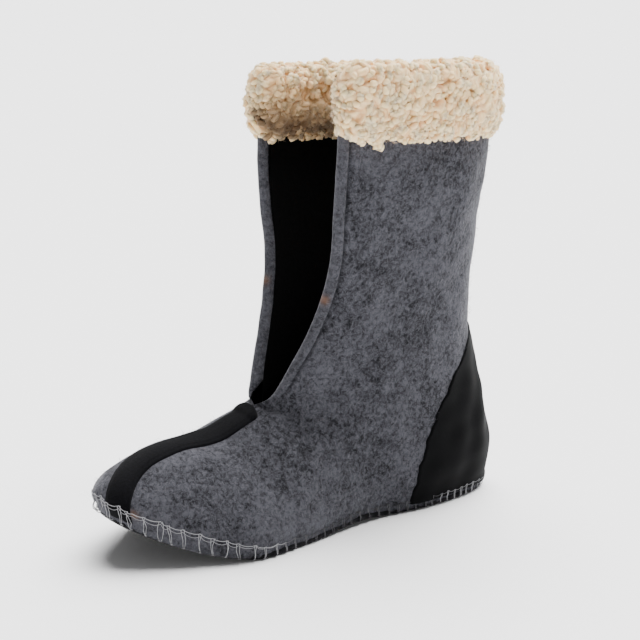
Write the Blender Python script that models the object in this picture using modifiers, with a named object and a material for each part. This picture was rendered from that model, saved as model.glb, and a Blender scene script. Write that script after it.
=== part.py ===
"""Felt inner boot for a snow boot, right foot, standing empty on its sewn sole.

Metres, +Z up. The toe points along -Y and the wearer's left, the inner side of this foot, is +X.
The origin is on the floor under the middle of the whole boot, and HEEL_BACK puts it there.

Every piece comes from one form: a foot, given by its plan, its ridge line and an arched section,
joined smoothly to a leg, given by ovals. A place on it is told by its station, the distance forward
of the back of the heel, and by its height above the sole.
"""

import math

import bpy
import numpy as np

# Driving sizes of the outside of the felt, in metres
FOOT_LENGTH = 0.280
BALL_WIDTH = 0.108
HEEL_WIDTH = 0.076
TOE_ROUND_INNER = 0.095
TOE_ROUND_OUTER = 0.085
TOE_ROUND_RIDGE = 0.038
INSTEP_HEIGHT = 0.067
ANKLE_WIDTH = 0.078
COLLAR_WIDTH = 0.101
SHAFT_HEIGHT = 0.264
COLLAR_FALL_BACK = 0.0085
COLLAR_FALL_OUT = 0.0095
HEEL_BACK = 0.1385
TOE_SPRING = 0.028
ARCH_LIFT = 0.002

# Thicknesses and clearances
FELT = 0.008
SOLE = 0.0045
STRIP = 0.0015
PATCH = 0.0010
GAP = 0.0003
OVERLAY_GAP = 0.0004

# Overlays, cuff and sole edge
STRIP_WIDTH = 0.0215
STRIP_SETBACK = 0.0025
PATCH_HEIGHT = 0.119
PATCH_LENGTH = 0.079
SEAM_BAND = 0.006
SOLE_CHAMFER = 0.0012
CUFF_HEIGHT = 0.046
CUFF_PILE = 0.0085
CUFF_OVERHANG = 0.008
CUFF_END_ROUND = 0.013
CUFF_TOP_PILE = 0.0055
LOCK_SIZE = 0.013
LOCK_RELIEF = 0.0026

# Mesh fineness
HALF_COLUMNS = 20
VAMP_LEVELS = 14
LEG_LEVELS = 13
SOLE_STATIONS = 40
CUFF_STEPS = 70
CUFF_SIDES = 24
LOCK_SEED = 7

# Plan of the foot. Share of the foot's length from the heel; the crest line's place toward the
# inner side, and the inner and outer edges' distances from it, as shares of half the ball's width.
PLAN = (
    # length, crest, inner, outer
    (0.00, 0.00, 0.58, 0.58),
    (0.15, 0.00, 0.58, 0.59),
    (0.30, 0.00, 0.63, 0.68),
    (0.45, 0.00, 0.77, 0.84),
    (0.60, 0.02, 0.93, 0.96),
    (0.72, 0.09, 0.97, 1.02),
    (0.84, 0.11, 0.85, 1.03),
    (0.93, 0.11, 0.79, 0.94),
    (1.00, 0.10, 0.85, 0.90),
)

# Middle of the strip, over the seam of the foot's two halves, which turns to the inner side at the
# toe. Share of the foot's length from the heel, and place as a share of half the ball's width.
STRIP_LINE = (
    # length, place
    (0.60, 0.02),
    (0.72, 0.07),
    (0.84, 0.04),
    (0.93, 0.13),
    (1.00, 0.40),
)

# Height of the crest. Share of the foot's length back from the toe, and height as a share of the
# instep's height.
RIDGE = (
    # length, height
    (0.00, 0.27),
    (0.09, 0.49),
    (0.20, 0.73),
    (0.30, 0.85),
    (0.40, 1.00),
    (0.54, 1.30),
    (1.00, 2.00),
)

# Leg, bottom to top. Height as a share of the shaft's; the back line's place forward of the heel
# as a share of the foot's length; half width as a share of half the named width beside it; and how
# square the front corners are, 2 being an ellipse.
LEG = (
    # height, back, width_share, named_width, squareness
    (0.000, 0.000, 0.93, HEEL_WIDTH, 2.0),
    (0.060, -0.012, 1.00, HEEL_WIDTH, 2.0),
    (0.160, 0.004, 1.00, HEEL_WIDTH, 2.0),
    (0.310, 0.039, 0.97, ANKLE_WIDTH, 2.1),
    (0.450, 0.053, 1.00, ANKLE_WIDTH, 2.4),
    (0.620, 0.038, 0.88, COLLAR_WIDTH, 2.9),
    (0.830, 0.018, 0.99, COLLAR_WIDTH, 3.0),
    (1.000, 0.024, 1.00, COLLAR_WIDTH, 3.0),
)

# Edge of the open throat above the strip's end. Height from the instep to the collar as a share,
# and how far the edge stands back from the throat's foot as a share of the foot's length.
THROAT = (
    # height, setback
    (0.00, 0.000),
    (0.12, 0.037),
    (0.26, 0.081),
    (0.42, 0.107),
    (0.60, 0.107),
    (1.00, 0.116),
)
THROAT_STATION = 0.609  # foot of the throat, as a share of the foot's length

BACK_ROUND = 2.3        # squareness of the leg's back
SECTION_RISE = 1.9      # how steeply the foot's section leaves the sole
SECTION_CROWN = 1.9     # how round the section is over the ridge
FORM_BLEND = 7.0        # the higher, the tighter the crease where leg and foot meet
CUFF_SQUARENESS = 0.62  # power of the roll's section, 1 being an ellipse and less being squarer
PATCH_BOW = 0.23        # how far the patch's long edge bows forward, as a share of its length


def smooth(at, table, column):
    """A curve through a table's column, at distances given like its first column."""
    return smooth_values(at, np.array([row[0] for row in table]), np.array([row[column] for row in table]))


def smooth_values(at, stations, values):
    """A cubic curve through the values, each slope taken from the points on both sides."""
    slopes = np.gradient(values, stations)
    before = np.clip(np.searchsorted(stations, at, side="right") - 1, 0, len(stations) - 2)
    run = stations[before + 1] - stations[before]
    t = np.clip((at - stations[before]) / run, 0, 1)
    start = values[before] * (2 * t**3 - 3 * t**2 + 1) + slopes[before] * run * (t**3 - 2 * t**2 + t)
    end = values[before + 1] * (3 * t**2 - 2 * t**3) + slopes[before + 1] * run * (t**3 - t**2)
    return start + end


def round_end(distance, length, squareness):
    """1 away from an end, falling to 0 at it along a superellipse of that length."""
    inside = np.clip(1 - distance / length, 0, 1)
    return np.clip(1 - inside**squareness, 0, 1) ** (1 / squareness)


def crest_line(station):
    """Sideways place of the foot's crest, which the section is built on both sides of."""
    return smooth(station / FOOT_LENGTH, PLAN, 1) * BALL_WIDTH / 2


def ridge(station):
    """Height of the foot's ridge above the seam band."""
    from_toe = FOOT_LENGTH - station
    height = smooth(from_toe / FOOT_LENGTH, RIDGE, 1) * INSTEP_HEIGHT
    return height * round_end(from_toe, TOE_ROUND_RIDGE, 2.4)


def leg_oval(height):
    """Back line, virtual front line, half width and front squareness of the leg at a height."""
    share = height / SHAFT_HEIGHT
    rise = np.array([row[0] for row in LEG])
    widths = np.array([row[2] * row[3] / 2 for row in LEG])
    back = smooth(share, LEG, 1) * FOOT_LENGTH
    front = THROAT_STATION * FOOT_LENGTH * (0.72 + 0.28 * np.clip(height / INSTEP_HEIGHT, 0, 1))
    return back, front, smooth_values(share, rise, widths), smooth(share, LEG, 4)


def half_width(station, height, side):
    """Width of the form to one side of the crest line, at a height above the seam band.

    The side is 1 for the inner one, +X, and -1 for the outer one.
    """
    height = np.maximum(height, 0)
    back, front, half, squareness = leg_oval(height)
    across = (station - (back + front) / 2) / ((front - back) / 2)
    power = np.where(across > 0, squareness, BACK_ROUND)
    leg = half * np.clip(1 - np.abs(across) ** power, 0, 1) ** (1 / power)
    plan = smooth(station / FOOT_LENGTH, PLAN, 2 if side > 0 else 3) * BALL_WIDTH / 2
    toe_round = TOE_ROUND_INNER if side > 0 else TOE_ROUND_OUTER
    plan = plan * round_end(FOOT_LENGTH - station, toe_round, 2.2)
    arch = 1 - np.clip(height / np.maximum(ridge(station), 1e-6), 0, 1) ** SECTION_RISE
    foot = plan * np.clip(arch, 0, 1) ** (1 / SECTION_CROWN)
    foot = foot * np.sqrt(np.clip(station / FOOT_LENGTH * 4, 0, 1))
    return (leg**FORM_BLEND + foot**FORM_BLEND) ** (1 / FORM_BLEND)


def front_of(height):
    """Station of the ridge at a height below the instep, or the leg's virtual front above it."""
    stations = np.linspace(FOOT_LENGTH, THROAT_STATION * FOOT_LENGTH, 400)
    if height < INSTEP_HEIGHT:
        return float(np.interp(max(height, 0), ridge(stations), stations))
    return THROAT_STATION * FOOT_LENGTH


def throat_edge(height):
    """Station of the throat's edge, or of the ridge where the form is still closed."""
    if height <= INSTEP_HEIGHT:
        return front_of(height)
    share = (height - INSTEP_HEIGHT) / (SHAFT_HEIGHT - INSTEP_HEIGHT)
    return float((THROAT_STATION - smooth(min(share, 1), THROAT, 1)) * FOOT_LENGTH)


def sole_rise(station):
    """Height of the sole's underside: flat under heel and ball, a low arch, and the toe spring."""
    share = station / FOOT_LENGTH
    arch = np.sin(np.pi * np.clip((share - 0.30) / 0.27, 0, 1)) ** 2 * ARCH_LIFT
    toe = np.clip((share - 0.71) / 0.29, 0, 1) ** 1.7 * TOE_SPRING
    heel = np.clip((0.05 - share) / 0.05, 0, 1) ** 2 * ARCH_LIFT
    return arch + toe + heel


def floor_place(x, station, height):
    """Points in the world, standing that high above the top of the sole."""
    fade = np.clip(1 - height / INSTEP_HEIGHT, 0, 1)
    toe = station > 0.65 * FOOT_LENGTH
    rise = sole_rise(station) * np.where(toe, 1, fade)
    return np.stack([x, HEEL_BACK - station, height + SOLE + rise], axis=-1)


def half_ring(height, side, past_edge, columns):
    """One side of a level, from the back to the throat's edge or the ridge.

    It is walked by the angle of an ellipse, then spaced by length, closer at both ends.
    """
    back = float(leg_oval(np.maximum(height, 0))[0])
    front = front_of(height)
    edge = min(throat_edge(height) + past_edge, front)
    last_angle = math.acos(max(-1.0, 1 - 2 * (edge - back) / (front - back)))
    angle = np.linspace(0, last_angle, 160)
    station = back + (front - back) * (1 - np.cos(angle)) / 2
    width = half_width(station, np.full_like(station, height), side)
    width[0] = 0
    if edge == front:
        width[-1] = 0
    walked = np.concatenate([[0], np.cumsum(np.hypot(np.diff(station), np.diff(width)))])
    even = np.linspace(0, 1, columns + 1)
    wanted = (even - 0.45 * np.sin(2 * np.pi * even) / (2 * np.pi)) * walked[-1]
    station, width = np.interp(wanted, walked, station), np.interp(wanted, walked, width)
    low = float(np.clip(1 - height / INSTEP_HEIGHT, 0, 1))
    across = crest_line(station) * low + side * width
    return floor_place(across, station, np.full_like(station, height + SEAM_BAND))


def ring(height, past_edge=0.0, columns=HALF_COLUMNS):
    """A level at a height above the sole, from its +X front edge round the back to its -X one."""
    form_height = height - SEAM_BAND
    plus = half_ring(form_height, 1, past_edge, columns)
    minus = half_ring(form_height, -1, past_edge, columns)
    points = np.concatenate([plus[::-1], minus[1:]])
    points[:, 2] -= collar_fall(points, form_height)
    return points


def collar_fall(points, form_height):
    """How far the collar's level drops toward the back and the outer side, fading in up the leg."""
    share = np.clip((form_height - INSTEP_HEIGHT) / (SHAFT_HEIGHT - INSTEP_HEIGHT), 0, 1)
    front = HEEL_BACK - THROAT_STATION * FOOT_LENGTH
    back = (points[:, 1] - front) / (HEEL_BACK - front)
    out = 0.5 - points[:, 0] / COLLAR_WIDTH
    return share * (COLLAR_FALL_BACK * (back - 0.4) + COLLAR_FALL_OUT * (out - 0.5))


def levels():
    """Heights of the rings: even steps along the ridge up to the throat, then up the leg."""
    stations = np.linspace(FOOT_LENGTH, THROAT_STATION * FOOT_LENGTH, 400)
    height = np.maximum.accumulate(np.minimum(ridge(stations), INSTEP_HEIGHT))
    walked = np.concatenate([[0], np.cumsum(np.hypot(np.diff(stations), np.diff(height)))])
    vamp = np.interp(np.linspace(0, walked[-1], VAMP_LEVELS + 1), walked, height)
    vamp[-1] = INSTEP_HEIGHT
    share = np.linspace(0, 1, LEG_LEVELS + 1)[1:]
    leg = INSTEP_HEIGHT + (SHAFT_HEIGHT - INSTEP_HEIGHT) * share**1.15
    return np.concatenate([[-SEAM_BAND], [0.0], vamp[1:], leg]) + SEAM_BAND


def grid_mesh(name, points, wrap=False, capped=False):
    """A mesh of quads over rows of points.

    Wrap joins each row's last point to its first, and capped fills the first and the last row.
    """
    rows, columns = points.shape[:2]
    row, column = np.meshgrid(np.arange(rows - 1), np.arange(columns - (not wrap)), indexing="ij")
    after = (column + 1) % columns
    quads = np.stack([row * columns + column, row * columns + after,
                      (row + 1) * columns + after, (row + 1) * columns + column], axis=-1)
    faces = quads.reshape(-1, 4).tolist()
    if capped:
        last = (rows - 1) * columns
        faces += [list(range(columns))[::-1], list(range(last, last + columns))]
    mesh = bpy.data.meshes.new(name)
    mesh.from_pydata(points.reshape(-1, 3).tolist(), [], faces)
    return mesh


def material(name, colour, roughness):
    made = bpy.data.materials.new(name)
    made.use_nodes = True
    shader = made.node_tree.nodes["Principled BSDF"]
    shader.inputs["Base Color"].default_value = (*colour, 1)
    shader.inputs["Roughness"].default_value = roughness
    shader.inputs["Metallic"].default_value = 0
    return made


def place(name, mesh, finish, group):
    """An object in its collection, its doubled points merged and its sides shaded smooth."""
    thing = bpy.data.objects.new(name, mesh)
    group.objects.link(thing)
    if finish:
        mesh.materials.append(finish)
    weld = thing.modifiers.new("weld", "WELD")
    weld.merge_threshold = 1e-5
    mesh.shade_smooth()
    mesh.set_sharp_from_angle(angle=math.radians(40))
    return thing


def cutter(name, mesh, group):
    thing = place(name, mesh, None, group)
    thing.hide_render = True
    thing.display_type = "WIRE"
    return thing


def solidify(thing, thickness, offset):
    wall = thing.modifiers.new("wall", "SOLIDIFY")
    wall.thickness = thickness
    wall.offset = offset
    wall.use_even_offset = False


def boolean(thing, tool, operation):
    cut = thing.modifiers.new(operation.lower() + "_" + tool.name, "BOOLEAN")
    cut.operation = operation
    cut.object = tool


def side_prism(name, outline, group):
    """A prism across the whole boot with an outline of (station, height above the floor)."""
    walls = [[(x, HEEL_BACK - s, z) for s, z in outline[::-1]] for x in (-BALL_WIDTH, BALL_WIDTH)]
    return cutter(name, grid_mesh(name, np.array(walls), wrap=True, capped=True), group)


def sole_sections(stations, widen, bottom, top, chamfer):
    """Cross sections of a plate that follows the sole: inner top round to inner bottom."""
    inside = np.clip(stations, 0, FOOT_LENGTH)
    crest = crest_line(inside)
    inner = crest + half_width(inside, np.zeros_like(inside), 1) + widen
    outer = crest - half_width(inside, np.zeros_like(inside), -1) - widen
    cut = np.minimum(chamfer, (inner - outer) / 4)
    low, high = sole_rise(inside) + bottom, sole_rise(inside) + top
    across = [inner, outer, outer, outer + cut, inner - cut, inner]
    height = [high, high, low + cut, low, low, low + cut]
    points = [np.stack([x, HEEL_BACK - stations, z], axis=-1) for x, z in zip(across, height)]
    return np.stack(points, axis=1)


def sole_plate(name, stations, widen, bottom, top, chamfer=SOLE_CHAMFER):
    points = sole_sections(stations, widen, bottom, top, chamfer)
    return grid_mesh(name, points, wrap=True, capped=True)


def sole_stations():
    """Stations from heel to toe, closest at the round ends."""
    angle = np.linspace(0, np.pi, SOLE_STATIONS + 1)
    share = (1 - np.cos(angle)) / 2
    ends = 0.0015
    back = float(leg_oval(0.0)[0])
    return back + (FOOT_LENGTH - back) * np.clip(share, ends, 1 - ends)


def form_surface(name):
    """The outside of the felt as one open surface, reaching a little below the sole's top."""
    heights = levels()
    rows = [ring(height) for height in heights]
    lowest = rows[0] - np.array([0, 0, SOLE])
    return grid_mesh(name, np.stack([lowest] + rows[1:]))


def build_sole(finish, group):
    return place("sole", sole_plate("sole", sole_stations(), 0, 0, SOLE), finish, group)


def sole_clearance(group):
    """Everything below the sole's top and its gap, which trims what stands on the sole."""
    inside = sole_stations()
    margin = 4 * FELT
    stations = np.concatenate([[inside[0] - margin], inside, [inside[-1] + margin]])
    plate = sole_plate("sole_clearance", stations, margin, -margin, SOLE + GAP, 0)
    return cutter("sole_clearance", plate, group)


def build_upper(finish, group, under):
    upper = place("upper", form_surface("upper"), finish, group)
    solidify(upper, FELT, -1)
    boolean(upper, under, "DIFFERENCE")
    return upper


def overlay(name, thickness, finish, group, outline, under):
    """A piece lying on the felt: the form grown by the gap and by the piece, cut to an outline."""
    piece = place(name, form_surface(name), finish, group)
    clear = piece.modifiers.new("clear", "DISPLACE")
    clear.strength = OVERLAY_GAP
    clear.mid_level = 0
    solidify(piece, thickness, 1)
    boolean(piece, outline, "INTERSECT")
    boolean(piece, under, "DIFFERENCE")
    return piece


def strip_outline(group):
    """A tall prism along the strip's middle line, from just below the throat to past the toe."""
    stations = np.linspace(THROAT_STATION * FOOT_LENGTH + STRIP_SETBACK, FOOT_LENGTH + FELT, 12)
    share = np.minimum(stations / FOOT_LENGTH, 1)
    centre = smooth(share, STRIP_LINE, 1) * BALL_WIDTH / 2
    across = np.concatenate([centre - STRIP_WIDTH / 2, (centre + STRIP_WIDTH / 2)[::-1]])
    along = HEEL_BACK - np.concatenate([stations, stations[::-1]])
    rows = [np.stack([across, along, np.full_like(across, z)], axis=-1) for z in (0, INSTEP_HEIGHT * 1.5)]
    return cutter("strip_outline", grid_mesh("strip_outline", np.stack(rows), wrap=True, capped=True), group)


def patch_outline(group):
    """Seen from the side, a tall triangle over the heel whose long edge bows forward a little."""
    share = np.linspace(0, 1, 9)
    station = PATCH_LENGTH * (1 - share + PATCH_BOW * np.sin(np.pi * share))
    height = PATCH_HEIGHT * share + SOLE
    behind = -4 * FELT
    below = [(behind, -SOLE), (station[0], -SOLE)]
    return side_prism("patch_outline", below + list(zip(station, height)) + [(behind, height[-1])], group)


def collar_path():
    """Middle of the felt's wall along the collar, with its outward and its forward directions."""
    outer = ring(SHAFT_HEIGHT + SEAM_BAND, columns=60)
    forward = np.gradient(outer, axis=0) * [1, 1, 0]
    forward /= np.linalg.norm(forward, axis=1)[:, None]
    outward = np.stack([forward[:, 1], -forward[:, 0], 0 * forward[:, 0]], axis=-1)
    return outer - outward * FELT / 2, outward, forward


def locks(along, around, period):
    """Relief of the pile, 0 to 1: round locks about scattered points, wrapping round the roll."""
    seeded = np.random.default_rng(LOCK_SEED)
    lanes = max(3, round(period / LOCK_SIZE))
    pitch = period / lanes
    steps = int(np.ceil((along.max() - along.min()) / LOCK_SIZE)) + 3
    jitter = seeded.uniform(-0.32, 0.32, (steps, lanes, 2))
    size = seeded.uniform(0.6, 1.0, (steps, lanes))
    cell_u = (along - along.min()) / LOCK_SIZE + 1
    cell_v = around / pitch
    best = np.zeros_like(along)
    for du in (-1, 0, 1):
        for dv in (-1, 0, 1):
            i = np.clip(np.floor(cell_u).astype(int) + du, 0, steps - 1)
            j = np.floor(cell_v).astype(int) + dv
            wrapped = j % lanes
            far = np.hypot(cell_u - (i + 0.5 + jitter[i, wrapped, 0]),
                           cell_v - (j + 0.5 + jitter[i, wrapped, 1]))
            dome = np.sqrt(np.clip(1 - (far / 0.78) ** 2, 0, 1)) * size[i, wrapped]
            best = np.maximum(best, dome)
    return best


def build_cuff(finish, group, slot):
    """A roll of pile over the collar: a rounded section carried round it, closed at both ends."""
    path, outward, forward = collar_path()
    walked = np.concatenate([[0], np.cumsum(np.linalg.norm(np.diff(path, axis=0), axis=1))])
    length = walked[-1] + 2 * CUFF_OVERHANG
    ends = np.array([0.0, 0.03, 0.12, 0.30, 0.60]) * CUFF_END_ROUND
    inner = np.linspace(CUFF_END_ROUND, length - CUFF_END_ROUND, CUFF_STEPS + 1 - 2 * len(ends))
    along = np.concatenate([ends, inner, (length - ends)[::-1]])
    shrink = round_end(np.minimum(along, length - along), CUFF_END_ROUND, 2.0)[:, None]
    along = along - CUFF_OVERHANG
    centre = np.stack([np.interp(along, walked, path[:, k]) for k in range(3)], axis=-1)
    out = np.stack([np.interp(along, walked, outward[:, k]) for k in range(3)], axis=-1)
    out /= np.linalg.norm(out, axis=1)[:, None]
    centre += np.minimum(along, 0)[:, None] * forward[0]
    centre += np.maximum(along - walked[-1], 0)[:, None] * forward[-1]
    angle = np.linspace(0, 2 * np.pi, CUFF_SIDES + 1)[:-1]
    half_thick = FELT / 2 + CUFF_PILE
    half_tall = CUFF_HEIGHT / 2
    across = np.sign(np.cos(angle)) * np.abs(np.cos(angle)) ** CUFF_SQUARENESS * half_thick
    tall = np.sign(np.sin(angle)) * np.abs(np.sin(angle)) ** CUFF_SQUARENESS * half_tall
    around = np.concatenate([[0], np.cumsum(np.hypot(np.diff(across), np.diff(tall)))])
    period = around[-1] + math.hypot(across[0] - across[-1], tall[0] - tall[-1])
    grid_u, grid_v = np.meshgrid(along, around, indexing="ij")
    relief = (locks(grid_u, grid_v, period) - 0.5) * LOCK_RELIEF * shrink
    points = centre[:, None] + out[:, None] * (across * shrink * (1 + relief / half_thick))[..., None]
    middle = points[..., 2] + CUFF_TOP_PILE - half_tall
    points[..., 2] = middle + tall * (0.25 + 0.75 * shrink) * (1 + relief / half_tall)
    cuff = place("cuff", grid_mesh("cuff", points, wrap=True), finish, group)
    boolean(cuff, slot, "DIFFERENCE")
    return cuff


def collar_slot(group):
    """The felt's wall at the collar grown by the gap on every side, cut out of the cuff."""
    top = SHAFT_HEIGHT + SEAM_BAND
    lowest = top + CUFF_TOP_PILE - CUFF_HEIGHT - 2 * FELT
    heights = np.concatenate([[lowest], [h for h in levels() if lowest < h < top - GAP], [top + GAP]])
    rows = [ring(height, past_edge=GAP) for height in heights]
    slot = cutter("collar_slot", grid_mesh("collar_slot", np.stack(rows)), group)
    clear = slot.modifiers.new("clear", "DISPLACE")
    clear.strength = GAP
    clear.mid_level = 0
    solidify(slot, FELT + 2 * GAP, -1)
    return slot


def clear_scene():
    for thing in list(bpy.data.objects):
        bpy.data.objects.remove(thing)


def collection(name):
    made = bpy.data.collections.new(name)
    bpy.context.scene.collection.children.link(made)
    return made


def main():
    clear_scene()
    parts = collection("felt_inner_boot")
    cutters = collection("cutters")
    grey_felt = material("grey_wool_felt", (0.10, 0.10, 0.115), 0.95)
    black_knit = material("black_knit_tape", (0.008, 0.008, 0.010), 0.90)
    black_nylon = material("black_woven_nylon", (0.010, 0.011, 0.013), 0.55)
    dark_sole = material("dark_needle_felt", (0.020, 0.020, 0.024), 0.95)
    cream_pile = material("cream_pile", (0.78, 0.66, 0.50), 0.95)
    under = sole_clearance(cutters)
    build_sole(dark_sole, parts)
    build_upper(grey_felt, parts, under)
    overlay("vamp_strip", STRIP, black_knit, parts, strip_outline(cutters), under)
    overlay("heel_patch", PATCH, black_nylon, parts, patch_outline(cutters), under)
    build_cuff(cream_pile, parts, collar_slot(cutters))


main()
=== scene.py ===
"""The look of a felt inner boot: fine skins, threads, pile, materials, floor, light and camera.

Metres, +Z up, toe toward -Y, the inner side of this right foot is +X. A place on the boot is told by
its station, the distance forward of the back of the heel, and by its height above the seam band.
"""

import math

import bpy
import numpy as np
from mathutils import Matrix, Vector
from mathutils.bvhtree import BVHTree


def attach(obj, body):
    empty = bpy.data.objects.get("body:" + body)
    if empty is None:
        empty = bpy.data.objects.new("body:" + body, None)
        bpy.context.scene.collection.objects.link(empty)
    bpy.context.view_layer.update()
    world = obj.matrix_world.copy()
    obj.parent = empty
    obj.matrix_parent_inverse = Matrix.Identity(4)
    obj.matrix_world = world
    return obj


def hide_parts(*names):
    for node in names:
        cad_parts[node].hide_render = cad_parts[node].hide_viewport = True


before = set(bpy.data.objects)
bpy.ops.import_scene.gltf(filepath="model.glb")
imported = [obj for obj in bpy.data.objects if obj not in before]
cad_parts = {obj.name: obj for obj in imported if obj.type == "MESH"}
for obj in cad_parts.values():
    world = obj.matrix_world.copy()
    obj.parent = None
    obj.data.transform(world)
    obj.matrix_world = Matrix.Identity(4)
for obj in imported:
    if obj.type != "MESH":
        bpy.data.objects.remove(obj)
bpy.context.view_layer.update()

# Sizes of the outside of the felt, the same as the solids'
FOOT_LENGTH = 0.280
BALL_WIDTH = 0.108
HEEL_WIDTH = 0.076
TOE_ROUND_INNER = 0.095
TOE_ROUND_OUTER = 0.085
TOE_ROUND_RIDGE = 0.038
INSTEP_HEIGHT = 0.067
ANKLE_WIDTH = 0.078
COLLAR_WIDTH = 0.101
SHAFT_HEIGHT = 0.264
COLLAR_FALL_BACK = 0.0085
COLLAR_FALL_OUT = 0.0095
HEEL_BACK = 0.1385
TOE_SPRING = 0.028
ARCH_LIFT = 0.002
THROAT_STATION = 0.609
FELT = 0.008
SOLE = 0.0045
SEAM_BAND = 0.006
FELT_LIP = 0.0022  # how far the felt's lower edge comes down over the sole's edge
STRIP = 0.0015
STRIP_WIDTH = 0.0215
STRIP_SETBACK = 0.0025
PATCH = 0.0010
PATCH_HEIGHT = 0.119
PATCH_LENGTH = 0.079
CUFF_HEIGHT = 0.046
CUFF_PILE = 0.0085
CUFF_OVERHANG = 0.008
CUFF_END_ROUND = 0.013
CUFF_TOP_PILE = 0.0055

# Threads round the sole
STITCH_AT_HEEL = 0.0062
STITCH_AT_TOE = 0.0082
THREAD = 0.00018  # radius of the strands that go up
THREAD_LANE = 0.00017  # radius of the strands that run along the top
SOLE_WAVE = 0.0075  # from stitch to stitch, where the thread draws the sole's edge in

PLAN = (
    # length, crest, inner, outer
    (0.00, 0.00, 0.58, 0.58),
    (0.15, 0.00, 0.58, 0.59),
    (0.30, 0.00, 0.63, 0.68),
    (0.45, 0.00, 0.77, 0.84),
    (0.60, 0.02, 0.93, 0.96),
    (0.72, 0.09, 0.97, 1.02),
    (0.84, 0.11, 0.85, 1.03),
    (0.93, 0.11, 0.79, 0.94),
    (1.00, 0.10, 0.85, 0.90),
)
STRIP_LINE = (
    # length, place
    (0.60, 0.02),
    (0.72, 0.07),
    (0.84, 0.04),
    (0.93, 0.13),
    (1.00, 0.40),
)
RIDGE = (
    # length, height
    (0.00, 0.27),
    (0.09, 0.49),
    (0.20, 0.73),
    (0.30, 0.85),
    (0.40, 1.00),
    (0.54, 1.30),
    (1.00, 2.00),
)
LEG = (
    # height, back, width_share, named_width, squareness
    (0.000, 0.000, 0.93, HEEL_WIDTH, 2.0),
    (0.060, -0.012, 1.00, HEEL_WIDTH, 2.0),
    (0.160, 0.004, 1.00, HEEL_WIDTH, 2.0),
    (0.310, 0.039, 0.97, ANKLE_WIDTH, 2.1),
    (0.450, 0.053, 1.00, ANKLE_WIDTH, 2.4),
    (0.620, 0.038, 0.88, COLLAR_WIDTH, 2.9),
    (0.830, 0.018, 0.99, COLLAR_WIDTH, 3.0),
    (1.000, 0.024, 1.00, COLLAR_WIDTH, 3.0),
)
THROAT = (
    # height from instep to collar, setback of the edge
    (0.00, 0.000),
    (0.12, 0.037),
    (0.26, 0.081),
    (0.42, 0.107),
    (0.60, 0.107),
    (1.00, 0.116),
)
BACK_ROUND = 2.3
SECTION_RISE = 1.9
SECTION_CROWN = 1.9
FORM_BLEND = 7.0
CUFF_SQUARENESS = 0.62
PATCH_BOW = 0.23

# Camera, from the photograph
CAMERA_AZIMUTH = 56.5
CAMERA_DISTANCE = 1.1465
CAMERA_HEIGHT = 0.4106
CAMERA_LENS = 108.6
CAMERA_AIM = (0.0212, 0.0016, 0.1294)
CAMERA_SIDE = 0.0016

# Light and floor
SUN_FROM = (-0.20, 0.46, 1.0)
SUN_STRENGTH = 12.0
SUN_SPREAD = 62
ROOM_BRIGHT_SIDE = (-0.76, 0.50, 0.42)
ROOM_STRENGTH = (2.7, 5.8)
FLOOR_REACH = 14.0

# How finely the pieces are made
VAMP_LEVELS = 56
LEG_LEVELS = 104
SKIN_COLUMNS = 118
EDGE_COLUMNS = 12
SOLE_COLUMNS = 520
PATCH_LEVELS = 84
PATCH_COLUMNS = 54
STRIP_LEVELS = 170
STRIP_COLUMNS = 25
SEAM_POINTS = 2400
STRAND_POINTS = 15
STRAND_SIDES = 6
CUFF_COLUMNS = 150
CURLS = 2700
HANGING_CURLS = 14
CURL_POINTS = 7
CURL_SIDES = 6
FIBRES = 6500
FIBRE_POINTS = 5
HAIRS = 3600
HAIR_POINTS = 4
FINE_SIDES = 3  # of a fibre or a hair


# The form


def smooth_values(at, stations, values):
    """A cubic curve through the values, each slope taken from the points on both sides."""
    slopes = np.gradient(values, stations)
    before = np.clip(np.searchsorted(stations, at, side="right") - 1, 0, len(stations) - 2)
    run = stations[before + 1] - stations[before]
    t = np.clip((at - stations[before]) / run, 0, 1)
    start = values[before] * (2 * t**3 - 3 * t**2 + 1) + slopes[before] * run * (t**3 - 2 * t**2 + t)
    end = values[before + 1] * (3 * t**2 - 2 * t**3) + slopes[before + 1] * run * (t**3 - t**2)
    return start + end


def smooth(at, table, column):
    """That curve through one column of a table, against the table's first column."""
    return smooth_values(at, np.array([row[0] for row in table]), np.array([row[column] for row in table]))


def ramp(at, low, high):
    """0 below low, 1 above high, easing between."""
    t = np.clip((at - low) / (high - low), 0, 1)
    return t * t * (3 - 2 * t)


def bump(at, centre, width):
    """A bell: e to the minus square of the distance from the centre over the width."""
    return np.exp(-(((at - centre) / width) ** 2))


def round_end(distance, length, squareness):
    """From 0 at a tip to 1 a length away, along a quarter of a superellipse."""
    inside = np.clip(1 - distance / length, 0, 1)
    return np.clip(1 - inside**squareness, 0, 1) ** (1 / squareness)


def walk(line):
    """Way walked along a line of points at each of them: the running sum of the steps' lengths."""
    return np.concatenate([[0], np.cumsum(np.linalg.norm(np.diff(line, axis=0), axis=1))])


def along(line, walked, wanted):
    """Points at the wanted ways along a line, straight between its own points."""
    return np.stack([np.interp(wanted, walked, line[:, k]) for k in range(line.shape[1])], axis=-1)


def crest_line(station):
    """How far the form's crest lies toward +X at a station."""
    return smooth(station / FOOT_LENGTH, PLAN, 1) * BALL_WIDTH / 2


def strip_line(station):
    """How far the tape's middle lies toward +X at a station."""
    return smooth(station / FOOT_LENGTH, STRIP_LINE, 1) * BALL_WIDTH / 2


def ridge(station):
    """Height of the form's top line: the table's curve, rounded down at the toe."""
    from_toe = FOOT_LENGTH - station
    height = smooth(from_toe / FOOT_LENGTH, RIDGE, 1) * INSTEP_HEIGHT
    return height * round_end(from_toe, TOE_ROUND_RIDGE, 2.4)


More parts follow.
